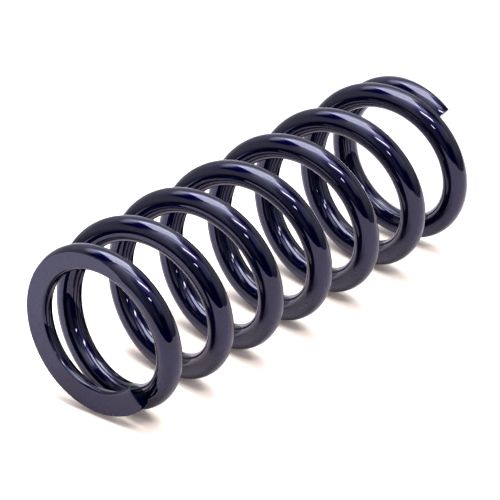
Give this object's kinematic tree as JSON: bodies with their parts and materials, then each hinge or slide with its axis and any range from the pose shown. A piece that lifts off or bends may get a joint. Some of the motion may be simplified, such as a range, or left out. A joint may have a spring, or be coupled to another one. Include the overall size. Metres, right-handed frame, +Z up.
{
  "type": "coilover spring",
  "caption": "Right-hand round-wire compression spring with closed, flat-ground ends and a glossy dark blue coat, for a coilover strut.",
  "frame": {"origin": "middle of the lower ground face, on the spring's axis", "axes": "+Z up along the coil axis from the lower seat to the upper seat; +X towards the lower tip of the wire"},
  "size_m": [0.0942, 0.0942, 0.254],
  "materials": {
    "coated_steel": "gloss dark blue powder coat"
  },
  "bodies": {
    "root": {"coil_spring": "coated_steel"}
  },
  "joints": []
}
